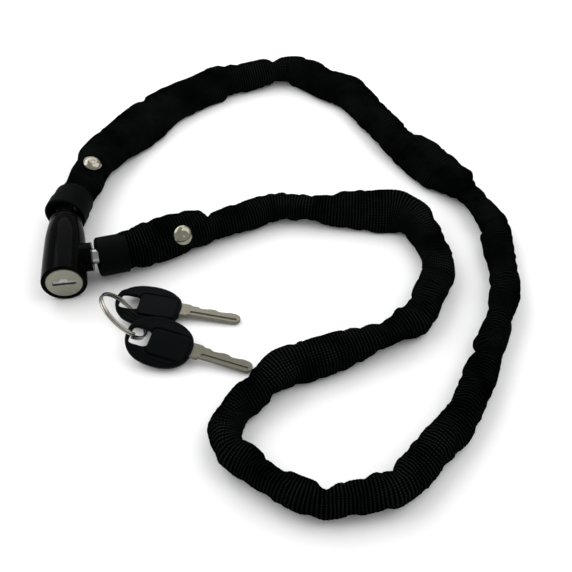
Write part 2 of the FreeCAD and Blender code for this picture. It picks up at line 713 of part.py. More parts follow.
def key_place(number):
    """Place of a key's hole centre: where the leaning ring reaches the key's height."""
    lean = math.radians(RING_LEAN)
    centre = ring_centre()
    height = FLOOR_Z + KEY_HEIGHTS[number]
    across = (centre.z - height) / math.sin(lean)
    along = math.sqrt(float(d.ring_r) ** 2 - across ** 2)
    crossing = centre + RING_ALONG * (KEY_SIDES[number] * along) - RING_ACROSS * (across * math.cos(lean))
    crossing.z = height
    crossing = crossing + KEY_SHIFTS[number]
    yaw = FreeCAD.Rotation(Z_AXIS, KEY_YAWS[number])
    dip = FreeCAD.Rotation(Y_AXIS, KEY_DIPS[number])
    roll = FreeCAD.Rotation(X_AXIS, KEY_ROLLS[number])
    return FreeCAD.Placement(crossing, yaw.multiply(dip).multiply(roll))


def bow_outline():
    """Egg-shaped bow; the hole's centre is at the origin and the blade leaves along +X."""
    half_l, half_w = float(d.bow_l) / 2, float(d.bow_w) / 2
    share_x, share_y, bulge = 0.72, 0.72, 1.25
    corner_x, corner_y = half_l * share_x, half_w * share_y
    ring = [(-half_l, 0), (-corner_x, corner_y), (0, half_w), (corner_x, corner_y),
            (half_l, 0), (corner_x, -corner_y), (0, -half_w), (-corner_x, -corner_y)]
    return [(x + BOW_MIDDLE.x, y + BOW_MIDDLE.y, -bulge) for x, y in ring]


def make_key(number):
    """Blade with a cut edge and a milled groove, and its moulded bow."""
    name = "key_%d" % number
    place = key_place(number)
    bow_end = BOW_MIDDLE.x + float(d.bow_l) / 2
    tang_start = 12.0
    half_w = float(d.blade_w) / 2
    half_t = float(d.blade_t) / 2
    tip = bow_end + 30
    shoulder = 0.8
    # The cuts: distance past the bow, and depth.
    cuts = [(4, 0), (6, 0.6), (9, 0.6), (11, 1.3), (14, 1.3), (16, 0.8), (19, 0.8), (21, 1.5),
            (24, 1.5), (26, 1.0)]
    cut_edge = [(bow_end + x, half_w - depth) for x, depth in cuts] + [(tip - 2.5, half_w - 1.0)]
    outline = [(tang_start, -half_w), (bow_end + 3, -half_w), (bow_end + 4, -half_w + shoulder),
               (tip - 2.5, -half_w + shoulder), (tip, 0)] + cut_edge[::-1] + [(tang_start, half_w)]
    plate = padded_body(name + "_plate", [(x, y + BLADE_Y) for x, y in outline], d.blade_t)
    groove = box(name + "_groove", 26, 1.2, 1.0, V(bow_end + 5, BLADE_Y - 1.8, half_t - 0.6))
    blade = cut(name + "_blade_cut", plate, [groove])
    bow = padded_body(name + "_bow_pad", bow_outline(), d.bow_t)
    hole = box(name + "_hole", HOLE_L, HOLE_W, 8, V(-HOLE_L / 2, -HOLE_W / 2, -4))
    socket = box(name + "_socket", bow_end - tang_start + 5, 2 * half_w, d.blade_t,
                 V(tang_start, BLADE_Y - half_w, -half_t))
    relief = box(name + "_relief", 18.5, 17, 3.2, V(-HOLE_L / 2 - 4, -8.5, -3.5))
    bow_cut = cut(name + "_bow_cut", bow, [hole, socket, relief])
    for part, label in ((blade, name + "_blade"), (bow_cut, name + "_bow")):
        part.Placement = place
        keep(label, part)


# ---------------------------------------------------------------- build and export

make_body_shell()
make_front_ring()
make_lock_case()
make_plug()
make_wafers()
make_shutter()
make_latch()
make_latch_spring()
make_bolt()
make_lock_side_ends()
make_bolt_side_ends()
make_sleeve()
make_chain()
make_ring()
make_key(1)
make_key(2)

doc.recompute()
print_radii()

for obj in doc.Objects:
    faults = [state for state in obj.State if state in ("Invalid", "Error")]
    if faults:
        raise RuntimeError("%s is %s" % (obj.Label, faults))
for label, obj in nodes.items():
    if obj.Shape.isNull() or not obj.Shape.isValid():
        raise RuntimeError("%s has no valid shape" % label)
    obj.Shape.exportStep("parts/%s.step" % label)
    limits = obj.Shape.BoundBox
    print("%-16s solids %2d volume %9.1f  x %.1f..%.1f y %.1f..%.1f z %.2f..%.2f" % (
        label, len(obj.Shape.Solids), obj.Shape.Volume, limits.XMin, limits.XMax,
        limits.YMin, limits.YMax, limits.ZMin, limits.ZMax))
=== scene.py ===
"""Chain lock: the visual model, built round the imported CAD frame. Metres, unless a comment says mm."""

import json
import math

import bpy
import numpy as np
from mathutils import Matrix, Vector
from mathutils.bvhtree import BVHTree


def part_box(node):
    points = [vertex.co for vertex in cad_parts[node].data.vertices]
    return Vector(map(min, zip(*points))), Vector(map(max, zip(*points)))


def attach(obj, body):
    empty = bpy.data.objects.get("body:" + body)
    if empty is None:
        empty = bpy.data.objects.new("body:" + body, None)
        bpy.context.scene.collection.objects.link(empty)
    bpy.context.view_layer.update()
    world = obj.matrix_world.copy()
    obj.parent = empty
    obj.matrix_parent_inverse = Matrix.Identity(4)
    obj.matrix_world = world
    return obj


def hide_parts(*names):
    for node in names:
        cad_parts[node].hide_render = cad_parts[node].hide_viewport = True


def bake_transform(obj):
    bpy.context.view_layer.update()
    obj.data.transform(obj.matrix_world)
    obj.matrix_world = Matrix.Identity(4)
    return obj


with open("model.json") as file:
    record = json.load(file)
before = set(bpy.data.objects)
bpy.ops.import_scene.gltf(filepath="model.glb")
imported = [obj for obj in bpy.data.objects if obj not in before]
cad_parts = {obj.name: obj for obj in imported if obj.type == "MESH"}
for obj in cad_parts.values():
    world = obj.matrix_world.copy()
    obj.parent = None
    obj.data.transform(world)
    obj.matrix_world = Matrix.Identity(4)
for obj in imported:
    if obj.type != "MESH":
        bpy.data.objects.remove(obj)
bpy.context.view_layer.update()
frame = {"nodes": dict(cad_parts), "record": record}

MM = 0.001
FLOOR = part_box("body_shell")[0].z


# ---------------------------------------------------------------- camera, floor and lights


CAMERA_PLACE = (0.06304, -0.32885, 0.32541)
CAMERA_ANGLE = 35
LOOKS_DOWN = 46
LOOKS_RIGHT = 8.5
WORLD_GREY = 0.62
FLOOR_HALF = 3.0
LIT_POINT = (0.1, 0.02, 0)
# Each lamp's place, its size and its power in watts. All of them face LIT_POINT.
LAMPS = {
    "key light": ((-0.75, 0.55, 1.1), (1.4, 1.0), 10),
    "fill light": ((0.95, 0.15, 0.9), (1.2, 1.2), 7),
    "back light": ((0.1, 1.2, 0.9), (1.4, 0.8), 6),
}


def add_object(name, data):
    piece = bpy.data.objects.new(name, data)
    bpy.context.collection.objects.link(piece)
    return piece


def add_camera():
    """Looks down as steeply as the photograph does."""
    data = bpy.data.cameras.new("camera")
    data.angle = math.radians(CAMERA_ANGLE)
    camera = add_object("camera", data)
    camera.location = CAMERA_PLACE
    camera.rotation_euler = (math.radians(90 - LOOKS_DOWN), 0, math.radians(-LOOKS_RIGHT))
    bpy.context.scene.camera = camera


def add_lamp(name, place, size, power):
    data = bpy.data.lights.new(name, "AREA")
    data.shape = "RECTANGLE"
    data.size, data.size_y = size
    data.energy = power
    lamp = add_object(name, data)
    lamp.location = place
    lamp.rotation_euler = (Vector(LIT_POINT) - Vector(place)).to_track_quat("-Z", "Y").to_euler()


def add_floor():
    mesh = bpy.data.meshes.new("floor")
    corners = [(x * FLOOR_HALF, y * FLOOR_HALF, FLOOR) for x, y in ((-1, -1), (1, -1), (1, 1), (-1, 1))]
    mesh.from_pydata(corners, [], [(0, 1, 2, 3)])
    floor = add_object("floor", mesh)
    mesh.materials.append(paper())


def add_studio():
    world = bpy.data.worlds.new("studio")
    world.use_nodes = True
    background = world.node_tree.nodes["Background"]
    background.inputs["Color"].default_value = (WORLD_GREY, WORLD_GREY, WORLD_GREY, 1)
    background.inputs["Strength"].default_value = 1.0
    bpy.context.scene.world = world
    bpy.context.scene.view_settings.view_transform = "Standard"
    for name, (place, size, power) in LAMPS.items():
        add_lamp(name, place, size, power)
    add_floor()


# ---------------------------------------------------------------- materials


class Nodes:
    """A small helper that writes a material's node tree."""

    def __init__(self, name):
        self.material = bpy.data.materials.new(name)
        self.material.use_nodes = True
        self.tree = self.material.node_tree
        self.shader = self.tree.nodes["Principled BSDF"]

    def add(self, kind, **settings):
        node = self.tree.nodes.new(kind)
        for key, value in settings.items():
            setattr(node, key, value)
        return node

    def join(self, source, target):
        self.tree.links.new(source, target)

    def set(self, **values):
        for key, value in values.items():
            self.shader.inputs[key.replace("_", " ")].default_value = value

    def noise(self, scale, detail=3.0, roughness=0.5, stretch=(1, 1, 1)):
        """Noise over the object's own coordinates; scale is in features per metre."""
        place = self.add("ShaderNodeTexCoord")
        spread = self.add("ShaderNodeMapping")
        spread.inputs["Scale"].default_value = stretch
        self.join(place.outputs["Object"], spread.inputs["Vector"])
        noise = self.add("ShaderNodeTexNoise")
        noise.inputs["Scale"].default_value = scale
        noise.inputs["Detail"].default_value = detail
        noise.inputs["Roughness"].default_value = roughness
        self.join(spread.outputs["Vector"], noise.inputs["Vector"])
        return noise.outputs["Fac"]

    def ramp(self, source, stops):
        """A colour ramp; stops are (position, colour or grey)."""
        ramp = self.add("ShaderNodeValToRGB")
        elements = ramp.color_ramp.elements
        while len(elements) < len(stops):
            elements.new(0.5)
        for element, (position, colour) in zip(elements, stops):
            element.position = position
            grey = isinstance(colour, (int, float))
            element.color = (colour, colour, colour, 1) if grey else (*colour, 1)
        self.join(source, ramp.inputs["Fac"])
        return ramp.outputs["Color"]

    def range(self, source, low, high, start=0.0, end=1.0):
        """Maps source from start..end to low..high."""
        node = self.add("ShaderNodeMapRange")
        node.inputs["From Min"].default_value = start
        node.inputs["From Max"].default_value = end
        node.inputs["To Min"].default_value = low
        node.inputs["To Max"].default_value = high
        self.join(source, node.inputs["Value"])
        return node.outputs["Result"]

    def math(self, operation, a, b):
        node = self.add("ShaderNodeMath", operation=operation)
        for socket, value in zip(node.inputs, (a, b)):
            if isinstance(value, (int, float)):
                socket.default_value = value
            else:
                self.join(value, socket)
        return node.outputs["Value"]

    def bump(self, height, depth, strength):
        """Bump of the given depth in metres."""
        node = self.add("ShaderNodeBump")
        node.inputs["Strength"].default_value = strength
        node.inputs["Distance"].default_value = depth
        self.join(height, node.inputs["Height"])
        return node.outputs["Normal"]

    def finish(self, colour=None, roughness=None, normal=None):
        for source, name in ((colour, "Base Color"), (roughness, "Roughness"), (normal, "Normal")):
            if source is not None:
                self.join(source, self.shader.inputs[name])
        return self.material


def paper():
    """The pale floor."""
    m = Nodes("paper")
    m.set(Roughness=0.9, Specular_IOR_Level=0.1)
    tone = m.ramp(m.noise(6), [(0.3, 0.93), (0.7, 0.96)])
    return m.finish(colour=tone)


def lacquer():
    """Gloss black paint over the lock body."""
    m = Nodes("gloss black lacquer")
    m.set(Specular_IOR_Level=0.012)
    tone = m.ramp(m.noise(140), [(0.35, (0.0009, 0.0011, 0.001)), (0.7, (0.0014, 0.0017, 0.0016))])
    rough = m.range(m.noise(260, 4), 0.05, 0.11, 0.3, 0.7)
    ripple = m.bump(m.noise(90, 2), 0.00004, 0.25)
    return m.finish(tone, rough, ripple)


def satin_nickel(name, colour, speckle):
    """Plated metal with fine speckles and shallow dents."""
    m = Nodes(name)
    m.set(Metallic=1.0)
    fine = m.noise(2600, 4, 0.7)
    dark = tuple(c * (1 - speckle) for c in colour)
    light = tuple(min(1.0, c * (1 + speckle * 0.5)) for c in colour)
    tone = m.ramp(fine, [(0.3, dark), (0.5, colour), (0.72, light)])
    rough = m.range(m.noise(900, 4), 0.34, 0.55, 0.3, 0.7)
    grain = m.bump(fine, 0.00006, 0.5)
    return m.finish(tone, rough, grain)


def chrome(name, colour, rough=0.1):
    """Bright plating with fine scratches."""
    m = Nodes(name)
    m.set(Metallic=1.0)
    scratches = m.noise(900, 5, 0.7, (1, 12, 3))
    tone = m.ramp(m.noise(350, 3), [(0.3, tuple(c * 0.86 for c in colour)), (0.7, colour)])
    gloss = m.range(scratches, rough * 0.6, rough * 2.2, 0.3, 0.75)
    return m.finish(tone, gloss, m.bump(scratches, 0.00002, 0.4))


def rubber(name, colour):
    """Matte moulded rubber."""
    m = Nodes(name)
    m.set(Specular_IOR_Level=0.02)
    fine = m.noise(3200, 4, 0.7)
    tone = m.ramp(m.noise(120, 3), [(0.3, tuple(c * 0.7 for c in colour)), (0.7, colour)])
    rough = m.range(fine, 0.5, 0.7, 0.3, 0.7)
    return m.finish(tone, rough, m.bump(fine, 0.00005, 0.5))


def metal(name, colour, rough=0.35, grain=1500, stretch=(1, 1, 1)):
    """Plain machined or cast metal."""
    m = Nodes(name)
    m.set(Metallic=1.0)
    fine = m.noise(grain, 4, 0.65, stretch)
    tone = m.ramp(fine, [(0.3, tuple(c * 0.75 for c in colour)), (0.7, colour)])
    gloss = m.range(fine, rough * 0.8, rough * 1.3, 0.3, 0.7)
    return m.finish(tone, gloss, m.bump(fine, 0.00005, 0.4))


YARN_TO_RIB = 0.62  # how far apart the yarns are, beside the ribs' spacing


def weave(rib):
    """Black woven nylon. The UV map runs along the sleeve (u) and round it (v), in metres. The colour is
    lighter on the rib crests and yarns, a painted highlight, and near black between them, painted shade.
    """
    m = Nodes("woven nylon")
    m.set(Specular_IOR_Level=0.0)
    place = m.add("ShaderNodeUVMap", uv_map="cloth")
    apart = m.add("ShaderNodeSeparateXYZ")
    m.join(place.outputs["UV"], apart.inputs["Vector"])
    along, across = apart.outputs["X"], apart.outputs["Y"]
    turn = 2 * math.pi
    ribs = m.math("SINE", m.math("MULTIPLY", along, turn / rib), 0)
    yarn = m.math("SINE", m.math("MULTIPLY", across, turn / (rib * YARN_TO_RIB)), 0)
    grid = m.math("MULTIPLY", m.range(ribs, 0, 1, -1, 1), m.range(yarn, 0.35, 1, -1, 1))
    fuzz = m.noise(2400, 4, 0.7)
    # Noise patches that make the painted rib highlight stronger or weaker.
    highlight_patches = m.noise(55, 3)
    height = m.math("ADD", grid, m.math("MULTIPLY", fuzz, 0.5))
    # Colour follows the weave's grid: painted highlight on the crests, painted shade in the valleys
    # between ribs and yarns.
    light = m.math("MULTIPLY", m.math("MULTIPLY", grid, fuzz), m.range(highlight_patches, 0.5, 1.3, 0.3, 0.7))
    tone = m.ramp(light, [(0.09, (0.00005, 0.0001, 0.00008)), (0.5, (0.0098, 0.0126, 0.0108))])
    rough = m.range(fuzz, 0.7, 0.95, 0.3, 0.7)
    return m.finish(tone, rough, m.bump(height, 0.00018, 0.8))


def dark_plastic():
    """The moulded key bows."""
    m = Nodes("dark moulded plastic")
    m.set(Specular_IOR_Level=0.035)
    fine = m.noise(2200, 4, 0.7)
    tone = m.ramp(m.noise(90, 3), [(0.3, (0.0008, 0.0016, 0.0018)), (0.7, (0.0012, 0.0022, 0.0024))])
    rough = m.range(fine, 0.38, 0.55, 0.3, 0.7)
    return m.finish(tone, rough, m.bump(fine, 0.00004, 0.5))


def paint_cad():
    """Every carried-over CAD node takes its material by its slot in the record."""
    finish = {
        "gloss_black": lacquer(),
        # The zinc is made near black: painted shade for the lock's neck, where it shows in the collar's
        # shadowed mouth.
        "zinc": metal("zinc darkened as painted shade", (0.03, 0.03, 0.031), 0.5, 900),
        "steel": metal("ground steel", (0.5, 0.5, 0.5), 0.3, 700, (1, 8, 1)),
        "spring_steel": metal("spring steel", (0.4, 0.4, 0.41), 0.3),
        "collar_rubber": rubber("collar rubber", (0.0017, 0.0022, 0.0021)),
        "rivet_chrome": chrome("rivet chrome", (0.29, 0.275, 0.225), 0.14),
        "chain_steel": metal("chain steel", (0.36, 0.35, 0.33), 0.4, 500),
        "plug_nickel": satin_nickel("plug nickel", (0.25, 0.245, 0.2), 0.35),
        "bolt_chrome": chrome("bolt chrome", (0.3, 0.3, 0.29)),
        "ring_chrome": chrome("ring chrome", (0.36, 0.35, 0.31), 0.08),
        "key_nickel": satin_nickel("key nickel", (0.19, 0.18, 0.145), 0.4),
        "bow_plastic": dark_plastic(),
        "brass": metal("brass", (0.6, 0.45, 0.2), 0.35),
    }
    slots = {row["node"]: row["material_slot"] for row in frame["record"]["subparts"]}
    for name, node in frame["nodes"].items():
        material = finish.get(slots[name])
        if material is None:
            continue
        node.data.materials.clear()
        node.data.materials.append(material)
    return finish


# ---------------------------------------------------------------- the sleeve's route

LYING = -3.5  # height of the sleeve's centre line where it lies on the floor, in mm
ROUTE_STEPS = 24
# The route's points from the part's source, in mm.
ROUTE = [
    (1.5, 57, 0), (9, 79, -0.8), (19, 102, -1.8), (43, 133, LYING), (72, 160, LYING),
    (103, 174, LYING), (126, 178.5, LYING), (139, 180.5, LYING), (150, 173.5, LYING),
    (162, 161.5, LYING), (177, 147, LYING), (184, 120, LYING), (192, 94, LYING),
    (207, 67, LYING), (221, 46, LYING), (229, 16, LYING), (223, -15, LYING),
    (217, -41, LYING), (200, -67, LYING), (186, -92, LYING), (167, -114, LYING),
    (141, -138, LYING), (119, -139, LYING), (98, -136, LYING), (80, -117, LYING),
    (70.5, -108.5, LYING), (68.5, -96.5, LYING), (73.5, -85, LYING), (88, -77.5, LYING),
    (102, -67, LYING), (132, -61, LYING), (162, -50, LYING), (178, -37, LYING),
    (193, -9, LYING), (191, 16, LYING), (182, 32, LYING), (164, 35, LYING),
    (139, 40, LYING), (114, 48.5, LYING), (88, 39, LYING), (62, 31, -2.6),
    (41, 21, -1.4), (25, 17.5, 0),
]


def route_line():
    """Points along the smooth curve that the route's points control, in metres."""
    data = bpy.data.curves.new("route", "CURVE")
    data.dimensions = "3D"
    spline = data.splines.new("NURBS")
    spline.points.add(len(ROUTE) - 1)
    for point, place in zip(spline.points, ROUTE):
        point.co = (*(v * MM for v in place), 1)
    spline.order_u = 3
    spline.use_endpoint_u = True
    spline.resolution_u = ROUTE_STEPS
    holder = bpy.data.objects.new("route", data)
    mesh = bpy.data.meshes.new_from_object(holder)
    line = np.array([v.co for v in mesh.vertices], float)
    bpy.data.meshes.remove(mesh)
    bpy.data.objects.remove(holder)
    bpy.data.curves.remove(data)
    return line


def distances(line):
    """How far along the line each of its points is."""
    steps = np.linalg.norm(np.diff(line, axis=0), axis=1)
    return np.concatenate([[0], np.cumsum(steps)])


def at(line, where):
    """The line's points at the given distances along it."""
    along = distances(line)
    return np.stack([np.interp(where, along, line[:, axis]) for axis in range(3)], axis=1)


# ---------------------------------------------------------------- the sleeve

# How the loose sleeve lies, in mm: distance along, then its reach to the left and to the right.
# It is wide where it lies flat over the chain, and narrow where it is pinched or twisted.
# Most reaches in OUTLINE and END_A, and most leans, are not set by hand: they are the output of a
# separate program that measured the photograph, with some adjusted afterwards.
OUTLINE = [
    (9, 7.6, 7.6), (22, 8, 8.4), (34, 9.6, 8), (46, 12, 7.6), (58, 12.4, 9.6), (70, 12.4, 10.7),
    (82, 12.6, 12.6), (92, 12.8, 12.6), (100, 12.6, 11.6), (106, 13.7, 10.9), (114, 13, 10.2),
    (124, 11.3, 11.3), (136, 10.4, 11.4), (149, 11.2, 11.4), (154, 12.1, 8), (160, 10.8, 8.2),
    (168, 9.2, 9.2), (178, 9.4, 8.5), (184, 9.6, 7), (190, 8, 4.6), (196, 10, 5), (204, 10.4, 8.4),
    (216, 10.3, 10), (226, 8.8, 10.8), (235, 9.8, 10.9), (245, 11.2, 10.2), (256, 10.7, 9.5),
    (270, 10.8, 9), (282, 11.4, 7.8), (293, 11.6, 7.8), (299, 10.2, 8.6), (305, 10.8, 8.6),
    (313, 12.9, 9.8), (324, 13.4, 11), (336, 12.5, 11.6), (346, 11.3, 9.2), (352, 11.5, 7.7),
    (358, 7.4, 5.2), (364, 5.5, 4.4), (374, 5, 5), (382, 6.7, 5.5), (388, 8.6, 6.2),
    (393.5, 8.4, 4.8), (397.5, 7.8, 8.4), (408, 7.5, 8.2), (424, 7.4, 6.4), (430, 7.7, 6.8),
    (436.5, 7.5, 5), (443, 7.6, 6.6), (448, 6.5, 7.1), (454, 5.1, 6.5), (462, 5, 5.5),
    (472, 4.9, 5.2), (478, 6.4, 7.4), (483, 6.9, 4.8), (490, 7.2, 7.2), (497, 7.7, 8.3),
    (508, 7.1, 7.7), (520, 8, 6.9), (530, 8.8, 7.8), (540, 7.2, 9.4), (550, 6, 9.8),
    (562, 5.8, 9.8), (568.5, 6.5, 7.2), (574, 7, 8.4), (579, 5.8, 9.4), (586, 4.8, 7.2),
    (591, 5.7, 4.9), (596.5, 6.8, 6), (602, 7.6, 3.8), (609, 6.4, 6.4), (622, 5.6, 5.9),
    (634, 6.3, 5.7), (642, 6.4, 8.1), (652, 4.9, 7.9), (662, 5.8, 9), (671, 3.6, 9.6),
    (682, 5.4, 9), (689, 7, 7.6), (694, 9.5, 5.2), (706, 11.5, 6.7), (718, 10.4, 9.1),
    (733, 10.3, 8.2), (742, 9.6, 7), (748, 8.3, 5.9), (754, 8, 4.6), (760, 6.5, 5.1), (766, 6, 6.1),
    (772.5, 7.6, 8.2), (777, 5, 9.3), (784, 7.4, 8.2), (796, 9.2, 7), (812, 8.5, 8.2),
    (826, 8.4, 7), (838, 9.4, 6.4), (846, 9.6, 7.6), (856, 9, 10.9), (866, 12.4, 10.4),
    (876, 13.2, 9.8), (886, 10.9, 10.3), (896, 9.2, 10.2), (904, 8, 8.6), (910, 4.6, 8.6),
    (916, 4.4, 8.4), (922, 6.9, 7), (928, 5.5, 5.9), (936, 7.6, 7.4), (948, 8.6, 7.4),
    (960, 7.7, 7), (969, 7.2, 5.4), (976, 7, 6), (981, 7, 6.2),
]
# The two doubled ends, in the same terms: A runs from its collar, B from its mouth.
END_A = [
    (9, 8.3, 8.3), (20, 8.6, 9.4), (26, 9.6, 9.6), (34, 10.6, 8.8), (46, 13, 8.5), (58, 13.3, 10.4),
    (70, 13.3, 11.5), (82, 13.6, 13.4), (92, 13.7, 13.4), (100, 13.3, 12.3),
]
END_B = [
    (973, 8, 7.6), (976, 8.8, 9.8), (984, 9.4, 11.4), (996, 9.8, 12.6), (1008, 9.6, 12.6),
    (1018, 8.8, 11), (1027, 8.3, 9),
]
# Distance along, and how thick the flattened sleeve is.
THICKNESS = [
    (0, 16.2), (50, 15.8), (80, 13.4), (120, 13), (940, 13), (968, 13.4), (985, 16.2), (1030, 16.6),
]
# Distance along, and how far its left side is lifted, in degrees.
LEAN = [
    (0, 20), (40, 20), (100, 26), (150, 38), (200, 42), (240, 32), (262, 18), (330, 28), (380, 13),
    (400, 0), (440, -8), (472, -18), (540, -27), (582, -43), (612, -42), (644, -35), (662, 0),
    (678, 32), (720, 41), (766, 36), (800, 16), (828, -3), (850, -22), (868, -43), (960, -40),
    (985, -47), (1030, -50),
]
SIDES = 24
LOOK_AHEAD = 3 * MM
# A flat section has pointed edges and a round one full sides: width over thickness, then power.
FLATNESS = [0.8, 1.1, 1.8]
SECTION_POWER = [0.8, 0.9, 1.12]
FABRIC = 0.8 * MM  # thickness of the cloth
CLEARANCE = FABRIC * 1.4  # least distance from the chain out to the sleeve's surface
SEARCH = 25 * MM  # how far out the search for the chain's surface starts
PUSH_SMOOTHINGS = 6
RIB = 1.6 * MM
RIB_HEIGHT = 0.12 * MM
FINER_ALONG, FINER_ROUND = 3, 2
COARSE = FINER_ALONG * RIB / 2  # ring spacing before the weave's ribs are added
CLOTH_GROWTH = 0.04  # how much too large the cloth is, as a share
CLOTH_HOLD = 0.35  # how firmly its points are held in place, up to 1
CLOTH_FRAMES = 20
MOST_CRUMPLE = 0.6 * MM  # the furthest that a point may move
HEM_RINGS = 6
HEM_TUCK = 0.9  # size of the turned-in edge beside the outer one
GATHER_FROM = 905 * MM  # past here the sleeve is a separate piece, attached to no body; the real sleeve gathers up here as the bolt end is pulled out


def eased(where, stations, column):
    """Smooth interpolation between stations, with no overshoot."""
    known = np.array([row[0] for row in stations], float) * MM
    values = np.array([row[column] for row in stations], float)
    index = np.clip(np.searchsorted(known, where) - 1, 0, len(known) - 2)
    share = np.clip((where - known[index]) / (known[index + 1] - known[index]), 0, 1)
    share = share * share * (3 - 2 * share)
    return values[index] * (1 - share) + values[index + 1] * share


def signed_power(values, power):
    return np.sign(values) * np.abs(values) ** power


def sleeve_rings(line, where, outline):
    """Rings of points round the line at the given distances: an array [ring, side, axis]."""
    centre = at(line, where)
    ahead = at(line, where + LOOK_AHEAD) - at(line, where - LOOK_AHEAD)
    ahead /= np.linalg.norm(ahead, axis=1)[:, None]
    left = np.cross([0, 0, 1.0], ahead)
    left /= np.linalg.norm(left, axis=1)[:, None]
    up = np.cross(ahead, left)
    reach_left, reach_right = (eased(where, outline, k)[:, None] * MM for k in (1, 2))
    thick = eased(where, THICKNESS, 1)[:, None] * MM
    lean = np.radians(eased(where, LEAN, 1))[:, None]
    flatness = (reach_left + reach_right) / thick
    power = np.interp(flatness, FLATNESS, SECTION_POWER)
    angle = np.linspace(0, 2 * math.pi, SIDES, endpoint=False)
    across = signed_power(np.cos(angle), power)
    across *= np.where(across > 0, reach_left, reach_right)
    rise = signed_power(np.sin(angle), power) * thick / 2
    side = across * np.cos(lean) - rise * np.sin(lean)
    lift = across * np.sin(lean) + rise * np.cos(lean)
    held = np.clip(centre[:, 2] / (LYING * MM), 0, 1)
    lying = FLOOR - lift.min(axis=1)
    lift += (held * (lying - centre[:, 2]))[:, None]
    rings = centre[:, None] + left[:, None] * side[..., None] + up[:, None] * lift[..., None]
    rings[..., 2] = np.maximum(rings[..., 2], FLOOR)
    return rings


def clear_of(rings, trees):
    """Pushes the rings outwards until they clear what is inside them."""
    needed = np.zeros(rings.shape[:2])
    middle = rings.mean(axis=1)
    for i, j in np.ndindex(*needed.shape):
        outward = Vector(rings[i, j] - middle[i])
        radius = outward.length
        outward.normalize()
        start = Vector(middle[i]) + outward * SEARCH
        for tree in trees:
            place, _, _, far = tree.ray_cast(start, -outward, SEARCH)
            if place is not None:
                needed[i, j] = max(needed[i, j], SEARCH - far + CLEARANCE - radius)
    push = needed.copy()
    for _ in range(PUSH_SMOOTHINGS):
        push[1:-1] = (push[:-2] + 2 * push[1:-1] + push[2:]) / 4
        push = (np.roll(push, 1, 1) + 2 * push + np.roll(push, -1, 1)) / 4
        push = np.maximum(push, needed)
    out = rings - middle[:, None]
    return rings + out / np.linalg.norm(out, axis=2)[..., None] * push[..., None]


def crumpled(rings, name):
    """Cloth that is a little too long for its place buckles into small folds."""
    piece = grid_object("crumple_" + name, rings)
    held = piece.vertex_groups.new(name="held")
    sides = rings.shape[1]
    points = list(range(len(piece.data.vertices)))
    held.add(points, CLOTH_HOLD, "REPLACE")
    held.add(points[:sides] + points[-sides:], 1.0, "REPLACE")
    cloth = piece.modifiers.new("cloth", "CLOTH")
    settings = cloth.settings
    settings.quality = 6
    settings.mass = 0.2
    settings.tension_stiffness = settings.compression_stiffness = 25
    settings.shear_stiffness = 6
    settings.bending_stiffness = 0.01
    settings.shrink_min = -CLOTH_GROWTH
    settings.vertex_group_mass = "held"
    settings.pin_stiffness = 1.0
    settings.effector_weights.gravity = 0
    cloth.collision_settings.use_collision = False
    scene = bpy.context.scene
    cloth.point_cache.frame_end = CLOTH_FRAMES
    for number in range(1, CLOTH_FRAMES + 1):
        scene.frame_set(number)
    shape = piece.evaluated_get(bpy.context.evaluated_depsgraph_get()).to_mesh()
    moved = np.array([v.co for v in shape.vertices], float).reshape(rings.shape)
    bpy.data.objects.remove(piece)
    scene.frame_set(1)
    shift = moved - rings
    size = np.linalg.norm(shift, axis=2)[..., None]
    shift *= np.minimum(1, MOST_CRUMPLE / np.maximum(size, 1e-9))
    return rings + shift


def between(rings, count):
    """The rings again, count times finer along, on smooth curves through the old ones."""
    padded = np.concatenate([2 * rings[:1] - rings[1:2], rings, 2 * rings[-1:] - rings[-2:-1]])
    before, here, there, after = padded[:-3], padded[1:-2], padded[2:-1], padded[3:]
    parts = []
    for number in range(count):
        t = number / count
        parts.append(
            0.5
            * (
                2 * here
                + (there - before) * t
                + (2 * before - 5 * here + 4 * there - after) * t**2
                + (3 * here - before - 3 * there + after) * t**3
            )
        )
    fine = np.stack(parts, axis=1).reshape(-1, *rings.shape[1:])
    return np.concatenate([fine, rings[-1:]])


def finer(rings):
    """Rings refined along the sleeve and round it."""
    turned = np.swapaxes(between(rings, FINER_ALONG), 0, 1)
    overlap = 2  # sides repeated at the seam, so that the curves run smoothly across it
    closed = np.concatenate([turned[-overlap:], turned, turned[: overlap + 1]])
    closed = between(closed, FINER_ROUND)
    return np.swapaxes(closed[overlap * FINER_ROUND : (overlap + len(turned)) * FINER_ROUND], 0, 1)


def ribbed(rings):
    """Lifts every other ring a little: the ribs of the weave."""
    out = rings - rings.mean(axis=1)[:, None]
    out /= np.linalg.norm(out, axis=2)[..., None]
    lift = np.where(np.arange(len(rings)) % 2 == 0, RIB_HEIGHT, 0)[:, None, None]
    moved = rings + out * lift
    moved[..., 2] = np.maximum(moved[..., 2], FLOOR)
    return moved


def quads(count, sides, joined=False, flipped=False):
    """Faces over closed rings. joined: the last ring meets the first. flipped: facing the other way."""
    faces = []
    for i in range(count if joined else count - 1):
        here, following = i * sides, (i + 1) % count * sides
        for j in range(sides):
            beside = (j + 1) % sides
            face = (here + j, here + beside, following + beside, following + j)
            faces.append(face[:1] + face[:0:-1] if flipped else face)
    return faces


def mesh_of(name, rings, faces):
    mesh = bpy.data.meshes.new(name)
    mesh.from_pydata(rings.reshape(-1, 3).tolist(), [], faces)
    return mesh


def grid_object(name, rings):
    """An open tube of quads through rings of points."""
    faces = quads(*rings.shape[:2])
    mesh = mesh_of(name, rings, faces)
    mesh.polygons.foreach_set("use_smooth", [True] * len(faces))
    return add_object(name, mesh)


